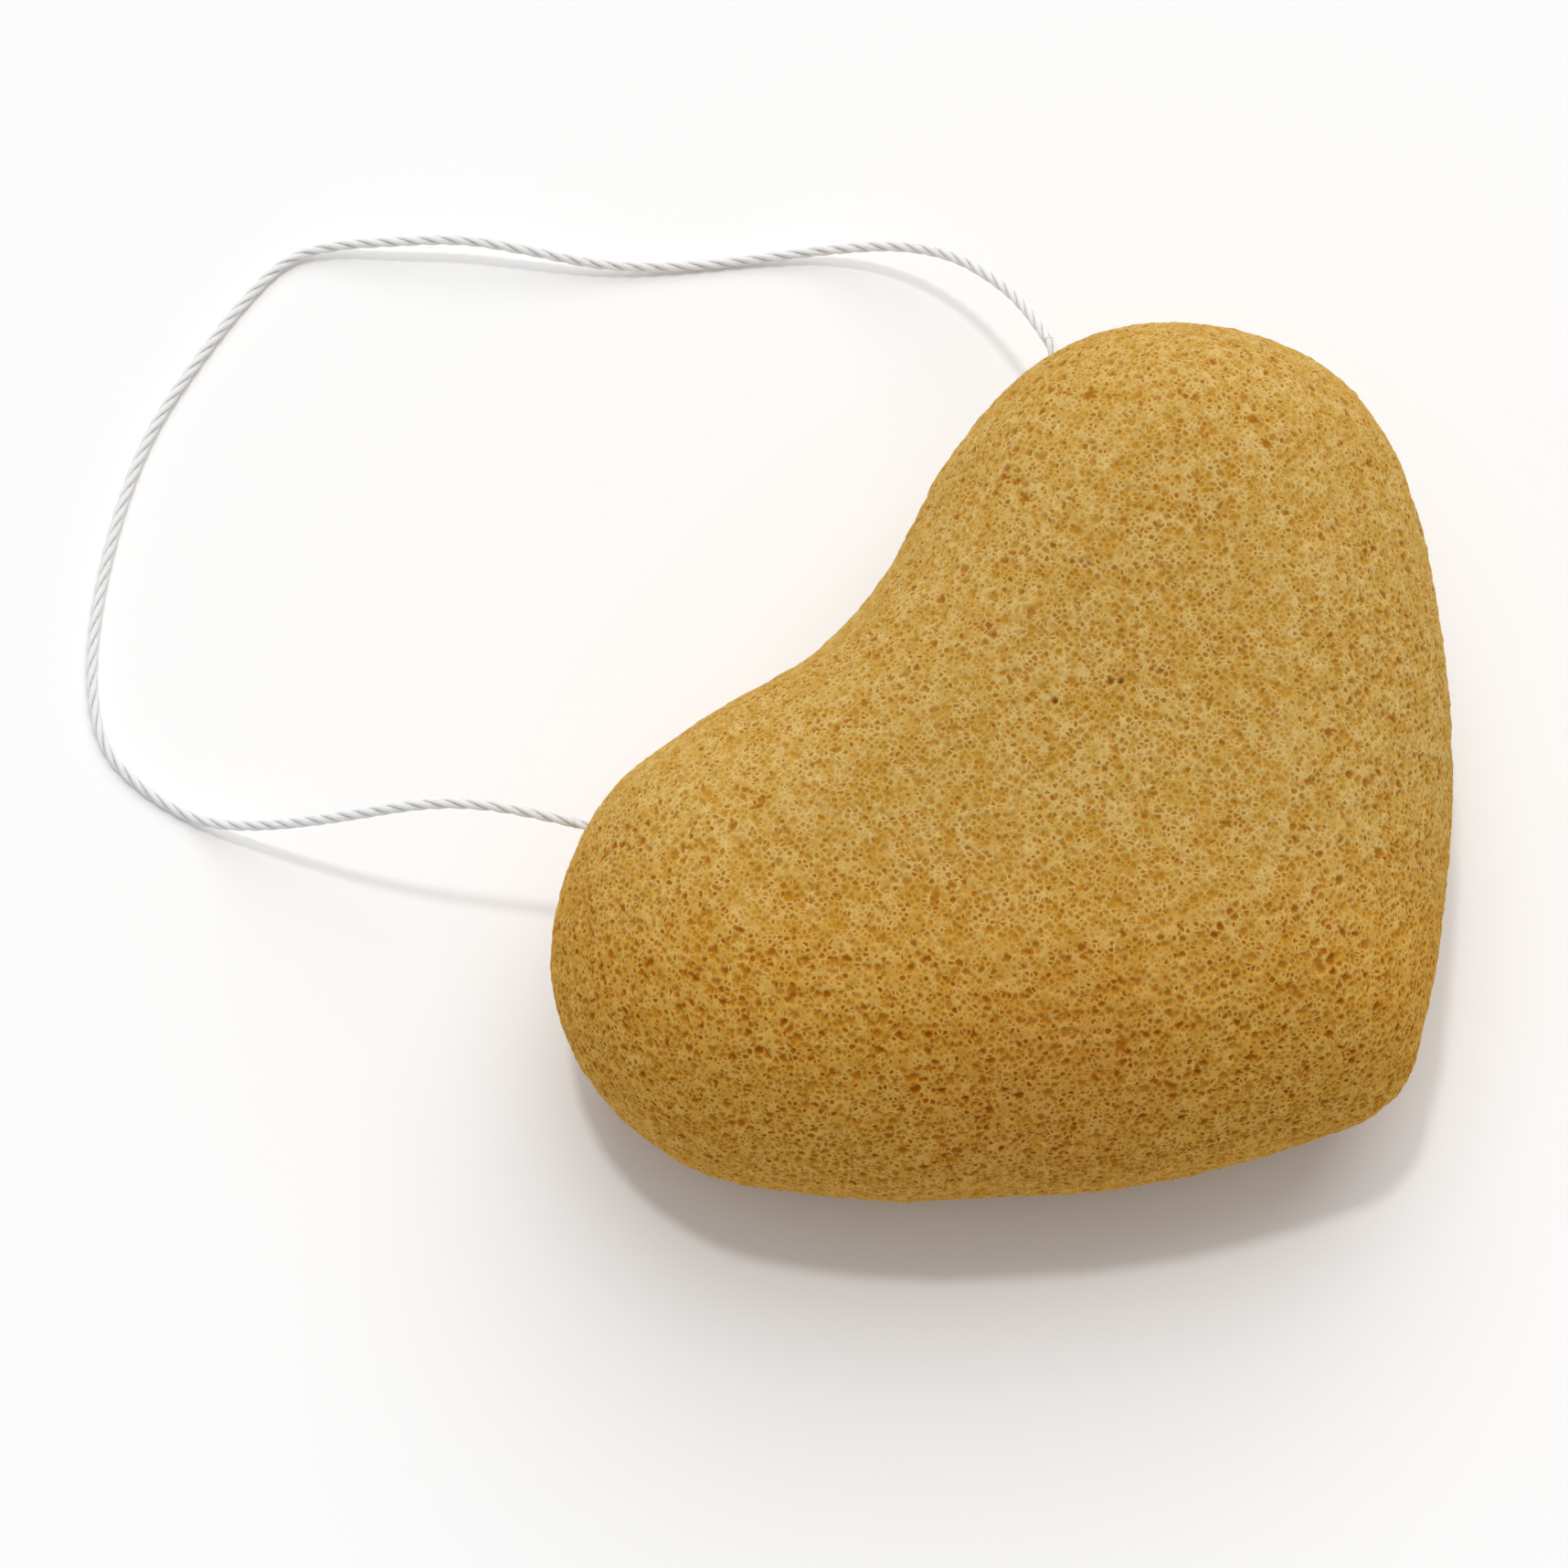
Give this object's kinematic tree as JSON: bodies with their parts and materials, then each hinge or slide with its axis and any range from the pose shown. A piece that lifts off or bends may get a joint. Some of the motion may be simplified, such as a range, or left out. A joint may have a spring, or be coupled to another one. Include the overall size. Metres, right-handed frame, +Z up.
{
  "type": "konjac sponge",
  "caption": "Heart-shaped konjac facial sponge with a crowned foam body and a thin cotton string loop tied through it for hanging up to dry.",
  "frame": {"origin": "middle of the foam body's box, on its flat base", "axes": "+Z up from the base, +X from lobe to lobe, +Y from the heart's tip to its notch"},
  "size_m": [0.0829, 0.1139, 0.0305],
  "materials": {
    "konjac_foam": "matte open-celled foam, ochre yellow",
    "cotton_string": "matte twisted cotton, white"
  },
  "bodies": {
    "sponge": {"sponge_body": "konjac_foam", "string_inner_left": "cotton_string", "string_inner_right": "cotton_string", "string_knot": "cotton_string"},
    "loop": {"string_loop": "cotton_string"}
  },
  "joints": [
    {"name": "loop_swing", "type": "hinge", "parent": "sponge", "child": "loop", "pos_m": [0.0015, 0.0304, 0.014], "axis": [1, 0, 0], "range_deg": [0, 90]}
  ]
}
